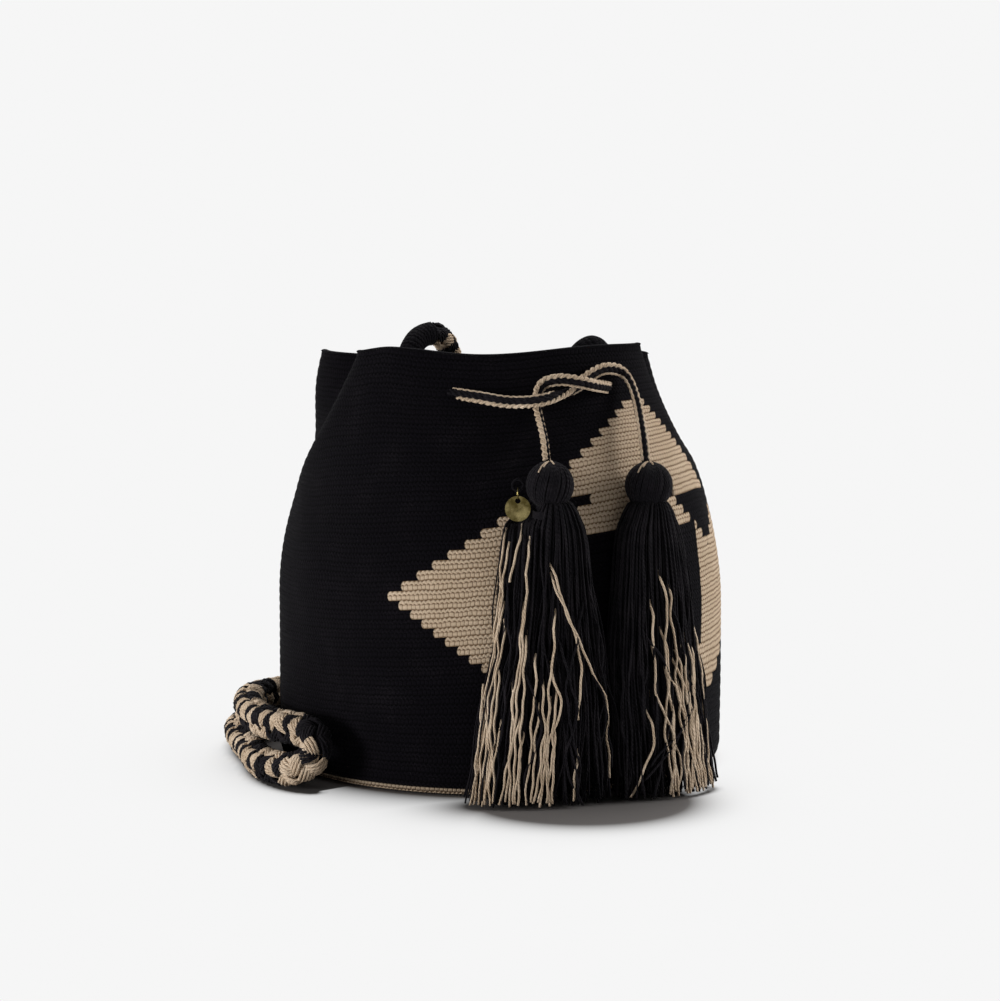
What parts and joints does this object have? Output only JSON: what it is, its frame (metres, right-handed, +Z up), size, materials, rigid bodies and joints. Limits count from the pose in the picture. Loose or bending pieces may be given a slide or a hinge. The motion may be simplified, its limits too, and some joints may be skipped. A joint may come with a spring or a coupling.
{
  "type": "crocheted drawstring bucket bag",
  "caption": "Small black crocheted drawstring bucket bag with a beige stepped diamond, tassels on the cord, a thick braided strap and a brass charm.",
  "frame": {"origin": "middle of the round base, on the surface that the bag stands on", "axes": "+Z up, the drawstring's knot and tassels face -Y, the doubled strap lies at -X"},
  "size_m": [0.2523, 0.2805, 0.2154],
  "materials": {
    "crochet": "matt crocheted cotton",
    "cord": "black cord braided with beige edges",
    "black_thread": "wound black thread",
    "tassel_thread": "cut black and beige threads",
    "strap_braid": "braided black and beige yarn bundles",
    "brass": "polished"
  },
  "bodies": {
    "bag": {"bag_body": "crochet", "drawstring": "cord", "tassel_left_head": "black_thread", "tassel_left_binding": "black_thread", "tassel_left_skirt": "tassel_thread", "tassel_right_head": "black_thread", "tassel_right_binding": "black_thread", "tassel_right_skirt": "tassel_thread", "charm_loop": "black_thread", "strap": "strap_braid", "strap_tab_right": "crochet", "strap_tab_left": "crochet"},
    "ring": {"jump_ring": "brass"},
    "disc": {"charm_disc": "brass"}
  },
  "joints": [
    {"name": "ring_swing", "type": "hinge", "parent": "bag", "child": "ring", "pos_m": [0.0083, -0.107, 0.1452], "axis": [1, 0, 0], "range_deg": [-60, 18]},
    {"name": "disc_swing", "type": "hinge", "parent": "ring", "child": "disc", "pos_m": [0.0083, -0.107, 0.1412], "axis": [0, 1, 0], "range_deg": [-6, 50]}
  ]
}
